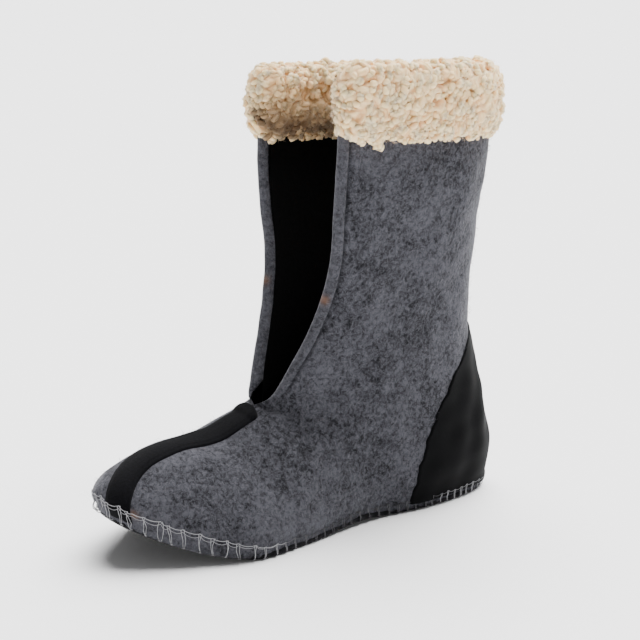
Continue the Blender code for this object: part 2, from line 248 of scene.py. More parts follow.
def leg_oval(height):
    """The leg's level oval: its back and front stations, half width and squareness."""
    share = height / SHAFT_HEIGHT
    rise = np.array([row[0] for row in LEG])
    widths = np.array([row[2] * row[3] / 2 for row in LEG])
    back = smooth(share, LEG, 1) * FOOT_LENGTH
    front = THROAT_STATION * FOOT_LENGTH * (0.72 + 0.28 * np.clip(height / INSTEP_HEIGHT, 0, 1))
    return back, front, smooth_values(share, rise, widths), smooth(share, LEG, 4)


def half_width(station, height, side):
    """Width of the form to one side of the seam: the leg's oval and the foot's section, blended."""
    height = np.maximum(height, 0)
    back, front, half, squareness = leg_oval(height)
    across = (station - (back + front) / 2) / ((front - back) / 2)
    power = np.where(across > 0, squareness, BACK_ROUND)
    leg = half * np.clip(1 - np.abs(across) ** power, 0, 1) ** (1 / power)
    plan = smooth(station / FOOT_LENGTH, PLAN, 2 if side > 0 else 3) * BALL_WIDTH / 2
    toe_round = TOE_ROUND_INNER if side > 0 else TOE_ROUND_OUTER
    plan = plan * round_end(FOOT_LENGTH - station, toe_round, 2.2)
    arch = 1 - np.clip(height / np.maximum(ridge(station), 1e-6), 0, 1) ** SECTION_RISE
    foot = plan * np.clip(arch, 0, 1) ** (1 / SECTION_CROWN)
    foot = foot * np.sqrt(np.clip(station / FOOT_LENGTH * 4, 0, 1))
    return (leg**FORM_BLEND + foot**FORM_BLEND) ** (1 / FORM_BLEND)


def front_of(height):
    """Station at which the ridge reaches a height; above the instep, the throat's."""
    stations = np.linspace(FOOT_LENGTH, THROAT_STATION * FOOT_LENGTH, 2000)
    if height < INSTEP_HEIGHT:
        return float(np.interp(max(height, 0), ridge(stations), stations))
    return THROAT_STATION * FOOT_LENGTH


def throat_edge(height):
    """Station of the throat's edge: the form's front, set back above the instep by the table."""
    if height <= INSTEP_HEIGHT:
        return front_of(height)
    share = (height - INSTEP_HEIGHT) / (SHAFT_HEIGHT - INSTEP_HEIGHT)
    return float((THROAT_STATION - smooth(min(share, 1), THROAT, 1)) * FOOT_LENGTH)


def sole_rise(station):
    """Height of the sole's underside: a low arch, the toe's spring, the heel's back edge."""
    share = station / FOOT_LENGTH
    arch = np.sin(np.pi * np.clip((share - 0.30) / 0.27, 0, 1)) ** 2 * ARCH_LIFT
    toe = np.clip((share - 0.71) / 0.29, 0, 1) ** 1.7 * TOE_SPRING
    heel = np.clip((0.05 - share) / 0.05, 0, 1) ** 2 * ARCH_LIFT
    return arch + toe + heel


def floor_place(x, station, height):
    """A place on the form in the scene. The toe lifts whole, and the arch fades with height."""
    fade = np.clip(1 - height / INSTEP_HEIGHT, 0, 1)
    toe = station > 0.65 * FOOT_LENGTH
    rise = sole_rise(station) * np.where(toe, 1, fade)
    return np.stack([x, HEEL_BACK - station, height + SOLE + rise], axis=-1)


def collar_fall(points, height):
    """How far a level drops toward the back and the outer side: none at the instep."""
    share = np.clip((height - INSTEP_HEIGHT) / (SHAFT_HEIGHT - INSTEP_HEIGHT), 0, 1)
    front = HEEL_BACK - THROAT_STATION * FOOT_LENGTH
    back = (points[:, 1] - front) / (HEEL_BACK - front)
    out = 0.5 - points[:, 0] / COLLAR_WIDTH
    return share * (COLLAR_FALL_BACK * (back - 0.4) + COLLAR_FALL_OUT * (out - 0.5))


def half_ring(height, side, setback, count, last_station=None):
    """One side of a level from the back forward: points, and each one's way left to the end."""
    back = float(leg_oval(np.maximum(height, 0))[0])
    front = front_of(height)
    edge = min(throat_edge(height) - setback, front)
    if last_station is not None:
        edge = min(edge, max(last_station, back + 1e-4))
    last_angle = math.acos(max(-1.0, 1 - 2 * (edge - back) / (front - back)))
    angle = np.linspace(0, last_angle, 500)
    station = back + (front - back) * (1 - np.cos(angle)) / 2
    width = half_width(station, np.full_like(station, height), side)
    width[0] = 0
    if edge == front:
        width[-1] = 0
    outline = np.stack([station, width], axis=-1)
    walked = walk(outline)
    even = np.linspace(0, 1, count + 1)
    wanted = (even - 0.35 * np.sin(2 * np.pi * even) / (2 * np.pi)) * walked[-1]
    station, width = along(outline, walked, wanted).T
    low = float(np.clip(1 - height / INSTEP_HEIGHT, 0, 1))
    across = crest_line(station) * low + side * width
    points = floor_place(across, station, np.full_like(station, height + SEAM_BAND))
    points[:, 2] -= collar_fall(points, height)
    return points, walked[-1] - wanted


def ring(height, setback, count, last_station=None):
    """A whole level, from its +X edge round the back to its -X one."""
    plus, plus_left = half_ring(height, 1, setback, count, last_station)
    minus, minus_left = half_ring(height, -1, setback, count, last_station)
    return np.concatenate([plus[::-1], minus[1:]]), np.concatenate([plus_left[::-1], minus_left[1:]])


# Meshes


def unit(vectors):
    """The same directions at length one."""
    return vectors / np.maximum(np.linalg.norm(vectors, axis=-1, keepdims=True), 1e-12)


def grid_normals(points):
    """Outward normals of a grid whose rows go up and whose columns go round by the back."""
    return unit(np.cross(np.gradient(points, axis=1), np.gradient(points, axis=0)))


def mesh_object(name, points, faces, finish, weld=0.0):
    """A smooth mesh of points and faces, its points merged where they lie within weld."""
    mesh = bpy.data.meshes.new(name)
    points = np.asarray(points, dtype=np.float32).reshape(-1, 3)
    faces = np.asarray(faces, dtype=np.int32)
    sides = faces.shape[1]
    mesh.vertices.add(len(points))
    mesh.vertices.foreach_set("co", points.ravel())
    mesh.loops.add(faces.size)
    mesh.loops.foreach_set("vertex_index", faces.ravel())
    mesh.polygons.add(len(faces))
    mesh.polygons.foreach_set("loop_start", np.arange(0, faces.size, sides, dtype=np.int32))
    mesh.polygons.foreach_set("loop_total", np.full(len(faces), sides, dtype=np.int32))
    mesh.update(calc_edges=True)
    mesh.materials.append(finish)
    mesh.shade_smooth()
    thing = bpy.data.objects.new(name, mesh)
    bpy.context.scene.collection.objects.link(thing)
    if weld:
        joined = thing.modifiers.new("weld", "WELD")
        joined.merge_threshold = weld
    return thing


def grid_faces(rows, columns, wrap=False):
    """Faces between the neighbours of a grid. With wrap, the last column joins the first."""
    row, column = np.meshgrid(np.arange(rows - 1), np.arange(columns - (not wrap)), indexing="ij")
    after = (column + 1) % columns
    quads = np.stack([row * columns + column, row * columns + after,
                      (row + 1) * columns + after, (row + 1) * columns + column], axis=-1)
    return quads.reshape(-1, 4)


def grid_object(name, points, finish, wrap=False, weld=0.0):
    """A surface through a grid of points, rows by columns."""
    rows, columns = points.shape[:2]
    return mesh_object(name, points, grid_faces(rows, columns, wrap), finish, weld)


def attribute(thing, name, values):
    """A number kept on each point, which a material can read."""
    layer = thing.data.attributes.new(name, "FLOAT", "POINT")
    layer.data.foreach_set("value", np.asarray(values, dtype=np.float32).ravel())


def tubes(paths, radii, sides):
    """Round threads swept along many paths: (threads, points, 3) and a radius at each point."""
    paths = np.asarray(paths, float)
    count, length = paths.shape[:2]
    radii = np.broadcast_to(radii, (count, length))
    forward = unit(np.gradient(paths, axis=1))
    lean = np.where(np.abs(forward[..., 2:3]) > 0.9, [1.0, 0.0, 0.0], [0.0, 0.0, 1.0])
    first = unit(np.cross(forward, lean))
    second = np.cross(forward, first)
    angle = np.arange(sides) * 2 * np.pi / sides
    circle = first[:, :, None] * np.cos(angle)[:, None] + second[:, :, None] * np.sin(angle)[:, None]
    points = paths[:, :, None] + circle * radii[..., None, None]
    one = grid_faces(length, sides, wrap=True)
    faces = one[None] + (np.arange(count) * length * sides)[:, None, None]
    return points.reshape(-1, 3), faces.reshape(-1, 4)


def wave_noise(x, y, z, size, salt, layers=4):
    """Smooth seeded noise about zero, from plane waves in mixed directions."""
    seeded = np.random.default_rng(salt)
    total = np.zeros_like(x)
    for _ in range(layers * 3):
        direction = unit(seeded.normal(size=3))
        phase = seeded.uniform(0, 2 * np.pi)
        scale = 2 * np.pi / (size * seeded.uniform(0.7, 1.6))
        total += np.sin((x * direction[0] + y * direction[1] + z * direction[2]) * scale + phase)
    return total / math.sqrt(layers * 3 / 2)


# Materials


def linear(hex_colour):
    """Linear red, green, blue and alpha from a display colour written as six hex digits."""
    parts = [int(hex_colour[i:i + 2], 16) / 255 for i in (0, 2, 4)]
    return tuple(p / 12.92 if p <= 0.04045 else ((p + 0.055) / 1.055) ** 2.4 for p in parts) + (1,)


def add(tree, kind, out=0, **settings):
    """A node with its settings and links, given back as one of its output sockets.

    A setting is a property of the node, or an input: by its name with _ for a space, or by its number
    as i0, i1 and so on. An input takes a value or the socket of another node.
    """
    made = tree.nodes.new(kind)
    for name, value in settings.items():
        if hasattr(made, name):
            setattr(made, name, value)
            continue
        numbered = name[0] == "i" and name[1:].isdigit()
        socket = made.inputs[int(name[1:]) if numbered else name.replace("_", " ")]
        if isinstance(value, bpy.types.NodeSocket):
            tree.links.new(value, socket)
        else:
            socket.default_value = value
    return made.outputs[out]


def new_material(name):
    """A material with its node tree and its shader."""
    made = bpy.data.materials.new(name)
    made.use_nodes = True
    return made, made.node_tree, made.node_tree.nodes["Principled BSDF"]


def heather_felt():
    """Wool felt, needled and pressed: matt grey of dark and pale fibres, with a soft bloom at rims.

    Its shade is a sum of noises: fibres in short bent streaks, clouds of them, slow patches from the
    pressing, and fine specks. The fibres are drawn several times too coarse, so that they show.
    """
    made, tree, shader = new_material("grey heather wool felt")
    where = add(tree, "ShaderNodeTexCoord", "Object")
    clouds = add(tree, "ShaderNodeTexNoise", Vector=where, Scale=135.0, Detail=5.0, Roughness=0.60)
    patches = add(tree, "ShaderNodeTexNoise", Vector=where, Scale=24.0, Detail=3.0)
    warp = add(tree, "ShaderNodeTexNoise", 1, Vector=where, Scale=180.0, Detail=2.0)
    bend = (0.006, 0.006, 0.006)
    bent = add(tree, "ShaderNodeVectorMath", operation="MULTIPLY_ADD", i0=warp, i1=bend, i2=where)
    fibres = add(tree, "ShaderNodeTexNoise", Vector=bent, Scale=430.0, Detail=4.0, Roughness=0.60)
    specks = add(tree, "ShaderNodeTexNoise", Vector=bent, Scale=1400.0, Detail=3.0, Roughness=0.65)
    mixed = 0.0
    for noise, weight in ((clouds, 0.46), (fibres, 0.86), (specks, 0.12), (patches, 0.40)):
        mixed = add(tree, "ShaderNodeMath", operation="MULTIPLY_ADD", i0=noise, i1=weight, i2=mixed)
    shade = add(tree, "ShaderNodeMapRange", Value=mixed, From_Min=0.745, From_Max=1.065)
    dark, mid = linear("131316"), linear("4b4b51")
    colour = add(tree, "ShaderNodeMix", 2, data_type="RGBA", i0=shade, i6=dark, i7=mid)
    bright = add(tree, "ShaderNodeMapRange", Value=specks, From_Min=0.52, From_Max=0.66)
    edge = add(tree, "ShaderNodeAttribute", "Fac", attribute_name="edge")
    groove_shade = add(tree, "ShaderNodeAttribute", "Fac", attribute_name="groove_shade")
    rust = add(tree, "ShaderNodeAttribute", "Fac", attribute_name="rust")
    for share, weight, tint in (
        # where it lies, how strongly, its colour
        (bright, 0.22, "7a7a80"),
        (edge, 0.20, "58585e"),
        # painted shade: the groove a little back from the turned throat edge drawn near black, as the shadow
        # in it
        (groove_shade, 0.60, "151518"),
        (rust, 1.00, "74543f"),
    ):
        share = add(tree, "ShaderNodeMath", operation="MULTIPLY", i0=share, i1=weight)
        colour = add(tree, "ShaderNodeMix", 2, data_type="RGBA", i0=share, i6=colour, i7=linear(tint))
    tree.links.new(colour, shader.inputs["Base Color"])
    shader.inputs["Roughness"].default_value = 0.95
    shader.inputs["Specular IOR Level"].default_value = 0.06
    shader.inputs["Sheen Weight"].default_value = 0.32
    shader.inputs["Sheen Roughness"].default_value = 0.4
    shader.inputs["Sheen Tint"].default_value = linear("d0d0d6")
    height = add(tree, "ShaderNodeMath", operation="MULTIPLY_ADD", i0=fibres, i1=0.7, i2=clouds)
    relief = add(tree, "ShaderNodeBump", Strength=0.8, Distance=0.0012, Height=height)
    tree.links.new(relief, shader.inputs["Normal"])
    return made


def plain_cloth(name, dark, pale, roughness, sheen, scale, depth):
    """A cloth of one colour with a fine uneven grain in colour and relief, matt, with a faint sheen."""
    made, tree, shader = new_material(name)
    where = add(tree, "ShaderNodeTexCoord", "Object")
    grain = add(tree, "ShaderNodeTexNoise", Vector=where, Scale=scale, Detail=4.0, Roughness=0.65)
    share = add(tree, "ShaderNodeMapRange", Value=grain, From_Min=0.40, From_Max=0.72)
    colour = add(tree, "ShaderNodeMix", 2, data_type="RGBA", i0=share, i6=linear(dark), i7=linear(pale))
    tree.links.new(colour, shader.inputs["Base Color"])
    shader.inputs["Roughness"].default_value = roughness
    shader.inputs["Specular IOR Level"].default_value = 0.06
    shader.inputs["Sheen Weight"].default_value = sheen
    shader.inputs["Sheen Roughness"].default_value = 0.5
    relief = add(tree, "ShaderNodeBump", Strength=0.6, Distance=depth, Height=grain)
    tree.links.new(relief, shader.inputs["Normal"])
    return made


def woven_nylon():
    """Tightly woven nylon: near black, with broad soft highlights and fine level ribs of its threads."""
    made, tree, shader = new_material("black woven nylon")
    where = add(tree, "ShaderNodeTexCoord", "Object")
    weave = add(tree, "ShaderNodeTexWave", 1, Vector=where, Scale=420.0, Distortion=0.6, bands_direction="Z")
    soft = add(tree, "ShaderNodeTexNoise", Vector=where, Scale=40.0, Detail=3.0)
    dark, pale = linear("030404"), linear("070709")
    colour = add(tree, "ShaderNodeMix", 2, data_type="RGBA", i0=soft, i6=dark, i7=pale)
    tree.links.new(colour, shader.inputs["Base Color"])
    uneven = add(tree, "ShaderNodeMapRange", Value=soft, To_Min=0.50, To_Max=0.68)
    tree.links.new(uneven, shader.inputs["Roughness"])
    shader.inputs["Specular IOR Level"].default_value = 0.035
    relief = add(tree, "ShaderNodeBump", Strength=0.35, Distance=0.00015, Height=weave)
    tree.links.new(relief, shader.inputs["Normal"])
    return made


def curly_pile():
    """Cream pile: bright tips, warmer and darker brown toward the creases as painted shade, painted shade on
    the roll's inner lower side, light that soaks in a little.
    """
    made, tree, shader = new_material("cream curly pile")
    where = add(tree, "ShaderNodeTexCoord", "Object")
    crease_light = add(tree, "ShaderNodeAttribute", "Fac", attribute_name="crease_light")
    inside = add(tree, "ShaderNodeAttribute", "Fac", attribute_name="shade")
    strands = add(tree, "ShaderNodeTexNoise", Vector=where, Scale=700.0, Detail=3.0, Roughness=0.7)
    patches = add(tree, "ShaderNodeTexNoise", Vector=where, Scale=60.0, Detail=2.0)
    share = add(tree, "ShaderNodeMapRange", Value=patches, From_Min=0.35, From_Max=0.65)
    pale, warm, crease_shade = linear("ffdcab"), linear("f9d09b"), linear("c8935c")
    tip = add(tree, "ShaderNodeMix", 2, data_type="RGBA", i0=share, i6=pale, i7=warm)
    # painted shade: low on the pile, in its creases, the colour goes to a darker warm brown
    height = add(tree, "ShaderNodeMapRange", Value=crease_light, From_Min=0.02, From_Max=0.62)
    colour = add(tree, "ShaderNodeMix", 2, data_type="RGBA", i0=height, i6=crease_shade, i7=tip)
    # painted shade: the roll's inner, lower side, toward the boot's inside, goes dark brown
    colour = add(tree, "ShaderNodeMix", 2, data_type="RGBA", i0=inside, i6=colour, i7=linear("5c4733"))
    tree.links.new(colour, shader.inputs["Base Color"])
    shader.inputs["Roughness"].default_value = 0.95
    shader.inputs["Specular IOR Level"].default_value = 0.1
    shader.inputs["Sheen Weight"].default_value = 0.15
    shader.inputs["Sheen Roughness"].default_value = 0.7
    shader.inputs["Sheen Tint"].default_value = linear("fff0dc")
    shader.inputs["Subsurface Weight"].default_value = 0.70
    shader.inputs["Subsurface Radius"].default_value = (1.0, 0.85, 0.7)
    shader.inputs["Subsurface Scale"].default_value = 0.0025
    relief = add(tree, "ShaderNodeBump", Strength=0.35, Distance=0.0005, Height=strands)
    tree.links.new(relief, shader.inputs["Normal"])
    return made


def thread_material():
    """Spun cotton thread: pale and matt, its twist a little uneven, greyer along the foot's waist and on one
    of the two running strands.
    """
    made, tree, shader = new_material("pale cotton thread")
    where = add(tree, "ShaderNodeTexCoord", "Object")
    twist = add(tree, "ShaderNodeTexNoise", Vector=where, Scale=900.0, Detail=2.0)
    greyed = add(tree, "ShaderNodeAttribute", "Fac", attribute_name="greyed")
    dark, pale, grey = linear("7c7c7f"), linear("b6b6b9"), linear("303033")
    fresh = add(tree, "ShaderNodeMix", 2, data_type="RGBA", i0=twist, i6=dark, i7=pale)
    colour = add(tree, "ShaderNodeMix", 2, data_type="RGBA", i0=greyed, i6=fresh, i7=grey)
    tree.links.new(colour, shader.inputs["Base Color"])
    shader.inputs["Roughness"].default_value = 0.8
    return made


felt_finish = heather_felt()
lining_finish = plain_cloth("black lining", "040404", "080809", 0.95, 0.0, 500.0, 0.0004)
tape_finish = plain_cloth("black knit tape", "060608", "0c0c10", 0.95, 0.03, 650.0, 0.0005)
nylon_finish = woven_nylon()
sole_finish = plain_cloth("dark needled felt", "0b0b0d", "1c1c20", 0.95, 0.08, 350.0, 0.0008)
pile_finish = curly_pile()
thread_finish = thread_material()


# Felt skin, with its turned throat edges, and the lining


def turned(height):
    """How far the throat's edge is turned at a height: none where the form is closed, 1 above."""
    return float(ramp(height, INSTEP_HEIGHT, INSTEP_HEIGHT + 0.010))


def skin_levels(low_count, leg_count):
    """Heights of the skin's rows: lip, seam band, then even steps along the ridge and up the leg."""
    stations = np.linspace(FOOT_LENGTH, THROAT_STATION * FOOT_LENGTH, 2000)
    height = np.maximum.accumulate(np.minimum(ridge(stations), INSTEP_HEIGHT))
    walked = walk(np.stack([stations, height], axis=-1))
    vamp = np.interp(np.linspace(0, walked[-1], low_count + 1), walked, height)
    leg = np.linspace(INSTEP_HEIGHT, SHAFT_HEIGHT, leg_count + 1)[1:]
    lip = np.linspace(-SEAM_BAND - FELT_LIP, -SEAM_BAND, 4)[:-1]
    return np.concatenate([lip, np.linspace(-SEAM_BAND, -0.0005, 5), vamp, leg])


# Hollows and folds: side, station and height of the middle, half sizes along and
# across the fold, its turn in degrees from forward, and depth, negative for a swelling
HOLLOWS = (
    # side, station, height, long, short, turn, depth
    (1, 0.118, 0.070, 0.022, 0.010, 20, 0.0016),
    (1, 0.128, 0.098, 0.020, 0.008, 60, 0.0010),
    (1, 0.095, 0.085, 0.030, 0.009, -25, -0.0008),
    (1, 0.070, 0.110, 0.028, 0.008, -10, 0.0010),
    (1, 0.155, 0.052, 0.030, 0.009, 30, 0.0009),
    (1, 0.185, 0.030, 0.030, 0.010, 65, 0.0008),
    (1, 0.060, 0.180, 0.010, 0.035, 5, 0.0007),
    (1, 0.100, 0.205, 0.012, 0.030, -8, -0.0006),
    (-1, 0.118, 0.072, 0.024, 0.010, 15, 0.0016),
    (-1, 0.080, 0.105, 0.028, 0.009, -12, 0.0011),
    (-1, 0.150, 0.050, 0.028, 0.010, 35, 0.0010),
    (-1, 0.070, 0.190, 0.011, 0.034, -4, 0.0008),
    (1, 0.018, 0.100, 0.020, 0.006, 0, 0.0010),
    (-1, 0.018, 0.100, 0.020, 0.006, 0, 0.0010),
)


# Small rust-coloured marks, two of them on the throat's edges and one by the toe's thread
RUST_MARKS = (
    # side, station, height, size
    (1, 0.1425, 0.1325, 0.0022),
    (-1, 0.1435, 0.1345, 0.0026),
    (1, 0.2700, 0.0005, 0.0020),
)


def skin_relief(points, heights, left):
    """Swell and sink of the felt: listed folds, slow waves, and the turned edge's ridge."""
    station = HEEL_BACK - points[..., 1]
    side = np.where(points[..., 0] > 0, 1, -1)
    relief = np.zeros(points.shape[:2])
    for wanted, at, high, long, short, turn, depth in HOLLOWS:
        c, s = math.cos(math.radians(turn)), math.sin(math.radians(turn))
        forward, up = station - at, heights - high
        length, width = forward * c + up * s, up * c - forward * s
        relief -= depth * bump(length, 0, long) * bump(width, 0, short) * (side == wanted)
    relief += 0.00035 * wave_noise(points[..., 0], points[..., 1], points[..., 2], 0.045, 3)
    relief += 0.00018 * wave_noise(points[..., 0], points[..., 1], points[..., 2], 0.016, 4)
    open_edge = ramp(heights, INSTEP_HEIGHT + 0.004, INSTEP_HEIGHT + 0.016)
    relief += open_edge * (0.0005 * bump(left, 0.0004, 0.0014) - 0.0012 * bump(left, 0.0026, 0.0009))
    tuck = 0.0006 + 0.0012 * ramp(station, 0.20, 0.26)
    relief -= tuck * np.clip(0.35 - heights / SEAM_BAND, 0, 1.7) ** 1.5
    return relief


def build_skin():
    """The felt: levels stacked up, each ended at the throat by a half round of the felt's thickness.

    The round turns from the outer face's normal through forward to its opposite, about the middle of
    the wall. The lining is the same surface, one wall inside.
    """
    levels = skin_levels(VAMP_LEVELS, LEG_LEVELS)
    rows = [ring(height, FELT / 2 * turned(height), SKIN_COLUMNS) for height in levels]
    points = np.stack([row[0] for row in rows])
    left = np.stack([row[1] for row in rows])
    toe = ramp(HEEL_BACK - points[:4, :, 1], 0.19, 0.24)
    points[:4, :, 2] -= 0.0021 * toe * np.linspace(1, 0, 4)[:, None]
    normals = grid_normals(points)
    heights = np.repeat(levels[:, None], points.shape[1], axis=1)
    closed = levels <= INSTEP_HEIGHT
    ends = unit(normals[closed, 0] + normals[closed, -1])
    normals[closed, 0] = ends
    normals[closed, -1] = ends
    outer = points + normals * skin_relief(points, heights, left)[..., None]
    inner = points - normals * FELT
    angle = np.linspace(0, np.pi, EDGE_COLUMNS + 1)[1:]
    turn = np.array([turned(height) for height in levels])[:, None, None]
    edges = []
    for edge, near in ((0, 1), (-1, -2)):
        forward = unit(points[:, edge] - points[:, near])[:, None]
        normal = normals[:, edge][:, None]
        centre = outer[:, edge][:, None] - normal * FELT / 2
        round_it = normal * np.cos(angle)[:, None] + forward * np.sin(angle)[:, None]
        turned_edge = centre + round_it * FELT / 2
        edges.append(outer[:, edge][:, None] * (1 - turn) + turned_edge * turn)
    whole = np.concatenate([edges[0][:, ::-1], outer, edges[1]], axis=1)
    skin = grid_object("felt_skin", whole, felt_finish, weld=2e-6)
    on_edge = np.zeros((len(levels), EDGE_COLUMNS))
    far_from_edge = np.concatenate([on_edge, left, on_edge], axis=1)
    open_edge = ramp(levels, INSTEP_HEIGHT + 0.004, INSTEP_HEIGHT + 0.016)[:, None]
    attribute(skin, "edge", open_edge * (1 - ramp(far_from_edge, 0.0012, 0.0022)))
    # painted shade in the groove a little back from the throat's edge
    attribute(skin, "groove_shade", open_edge * bump(far_from_edge, 0.0027, 0.0008))
    marks = np.zeros(whole.shape[:2])
    stations = HEEL_BACK - whole[..., 1]
    for side, station, height, size in RUST_MARKS:
        near = bump(stations, station, size) * bump(levels[:, None], height, size)
        marks = np.maximum(marks, near * (np.sign(whole[..., 0]) == side))
    attribute(skin, "rust", marks * 0.7)
    lining = grid_object("lining", inner, lining_finish, weld=2e-6)
    return skin, lining, whole


def build_insole():
    """The black lining's floor: stations along the foot by places across it."""
    stations = np.linspace(0.004, FOOT_LENGTH - 0.004, 90)
    across = np.linspace(-1, 1, 17)
    seam = crest_line(stations)
    inner = half_width(stations, np.zeros_like(stations), 1) - FELT * 0.7
    outer = half_width(stations, np.zeros_like(stations), -1) - FELT * 0.7
    side = np.where(across[None] > 0, np.maximum(inner, 0)[:, None], np.maximum(outer, 0)[:, None])
    x = seam[:, None] + across[None] * side
    z = (sole_rise(stations) + SOLE + 0.001)[:, None] + 0.002 * np.abs(across[None]) ** 6
    y = np.repeat((HEEL_BACK - stations)[:, None], len(across), axis=1)
    return grid_object("insole", np.stack([x, y, z + 0 * x], axis=-1), lining_finish)


def outline_walk(count, height=0.0):
    """Points evenly spaced round the whole foot's edge at a level, with outward directions."""
    around, _ = ring(height, 0, 700)
    walked = walk(around)
    points = along(around, walked, np.linspace(0, walked[-1], count, endpoint=False))
    forward = unit(np.roll(points, -1, axis=0) - np.roll(points, 1, axis=0))
    outward = unit(np.stack([forward[:, 1], -forward[:, 0], 0 * forward[:, 0]], axis=-1))
    return points, outward, walked[-1]


SOLE_EDGE = (
    # inset from the outline, height as a share of the sole's thickness
    (0.0300, 1.00),
    (0.0120, 1.00),
    (0.0040, 1.00),
    (0.0012, 0.95),
    (0.0002, 0.75),
    (0.0000, 0.45),
    (0.0004, 0.18),
    (0.0022, 0.02),
    (0.0060, 0.00),
    (0.0160, 0.00),
    (0.0340, 0.00),
)


def build_sole():
    """The felt sole: a rounded edge section carried round the outline, closed over both faces."""
    around, outward, length = outline_walk(SOLE_COLUMNS)
    station = HEEL_BACK - around[:, 1]
    walked = np.arange(SOLE_COLUMNS) / SOLE_COLUMNS * length
    wave = 0.0003 * np.sin(walked / SOLE_WAVE * 2 * np.pi)
    tucked = 0.0008 + 0.0032 * ramp(station, 0.19, 0.24)[:, None]
    rows = []
    middle_x = crest_line(np.clip(station, 0, FOOT_LENGTH))
    for inset, top in SOLE_EDGE:
        base = around - outward * (inset + tucked) + outward * wave[:, None]
        across = base[:, 0] - middle_x
        limit = np.maximum(np.abs(around[:, 0] - middle_x) - inset, 0)
        x = middle_x + np.sign(around[:, 0] - middle_x) * np.minimum(np.abs(across), limit)
        y = np.clip(base[:, 1], around[:, 1].min() + 0.001, around[:, 1].max() - 0.001)
        here = sole_rise(np.clip(HEEL_BACK - y, 0, FOOT_LENGTH))
        rows.append(np.stack([x, y, here + top * SOLE], axis=-1))
    centre_y = np.clip(around[:, 1], around[:, 1].min() + 0.034, around[:, 1].max() - 0.034)
    for top, place in ((1.0, 0), (0.0, len(rows) + 1)):
        here = sole_rise(np.clip(HEEL_BACK - centre_y, 0, FOOT_LENGTH))
        spine = np.stack([crest_line(HEEL_BACK - centre_y), centre_y, here + top * SOLE], axis=-1)
        rows.insert(place, spine)
    return grid_object("felt_sole", np.stack(rows[::-1]), sole_finish, wrap=True, weld=1e-6)


skin, lining, skin_points = build_skin()
insole = build_insole()
sole = build_sole()
depsgraph = bpy.context.evaluated_depsgraph_get()
skin_tree = BVHTree.FromObject(skin, depsgraph)


def on_skin(points, lift):
    """The nearest places on the felt, raised from it by lift, with the felt's normals there."""
    flat = np.asarray(points, float).reshape(-1, 3)
    lifts = np.broadcast_to(lift, np.asarray(points).shape[:-1]).ravel()
    places, normals = np.empty_like(flat), np.empty_like(flat)
    for i, point in enumerate(flat):
        place, normal, _, _ = skin_tree.find_nearest(Vector(point))
        if normal.dot(Vector(point) - Vector((0, 0.05, 0.05))) < 0 and abs(point[2]) < 0.1:
            normal = -normal
        places[i], normals[i] = place, normal
    raised = places + normals * lifts[:, None]
    return raised.reshape(np.shape(points)), normals.reshape(np.shape(points))


# Strip, heel patch, threads


def strip_lane(offset):
    """A line on the form at a fixed distance beside the strip's middle, from the throat to the sole.

    At each station it lies at the greatest height at which the form still reaches that far aside.
    """
    start = THROAT_STATION * FOOT_LENGTH + STRIP_SETBACK
    station = start + (FOOT_LENGTH - 1e-5 - start) * (1 - (1 - np.linspace(0, 1, 400)) ** 1.6)
    aside = strip_line(station) + offset
    low, high = np.zeros_like(station), np.minimum(ridge(station), INSTEP_HEIGHT)

    def reaches(height):
        crest = crest_line(station) * np.clip(1 - height / INSTEP_HEIGHT, 0, 1)
        inner = crest + half_width(station, height, 1)
        outer = crest - half_width(station, height, -1)
        return (aside <= inner) & (aside >= outer)

    inside = reaches(low)
    for _ in range(20):
        middle = (low + high) / 2
        good = reaches(middle)
        low, high = np.where(good, middle, low), np.where(good, high, middle)
    path = floor_place(aside[inside], station[inside], low[inside] + SEAM_BAND)
    foot = path[-1] - np.array([0, 0, low[inside][-1]])
    down = foot - np.array([[0, 0, t] for t in np.linspace(0, SEAM_BAND + FELT_LIP / 2, 12)])
    return np.concatenate([path, down])


def build_strip():
    """Tape over the toe's seam: lanes side by side along the form, each evenly spaced, snapped on."""
    across = np.sin(np.linspace(-np.pi / 2, np.pi / 2, STRIP_COLUMNS))
    share = np.linspace(0, 1, STRIP_LEVELS)
    lanes = []
    for place in across:
        lane = strip_lane(place * STRIP_WIDTH / 2)
        walked = walk(lane)
        lanes.append(along(lane, walked, share * walked[-1]))
    sides = np.stack(lanes, axis=1)
    wanted = share * 0.125
    corner = np.sqrt(np.clip(1 - np.clip(1 - wanted / 0.006, 0, 1) ** 2.5, 0.12, 1))[:, None, None]
    middle = sides[:, STRIP_COLUMNS // 2, None]
    sides = middle + (sides - middle) * corner
    edge = 1 - np.abs(across[None]) ** 10
    end = ramp(wanted, -0.0005, 0.0012)[:, None] * edge
    folded = 0.0016 * (1 - ramp(wanted, 0.006, 0.010))[:, None] * edge
    stitched = 0.0004 * bump(np.abs(across[None]), 0.80, 0.05) * ramp(wanted, 0.004, 0.006)[:, None]
    lift = 0.00015 + STRIP * end + folded - stitched
    raised, _ = on_skin(sides, lift)
    return grid_object("tape_strip", raised[:, ::-1], tape_finish)


def patch_front(share):
    """Station of the patch's front edge at a share of its height: a slant, bowed forward by a sine."""
    return PATCH_LENGTH * (1 - share + PATCH_BOW * np.sin(np.pi * share))


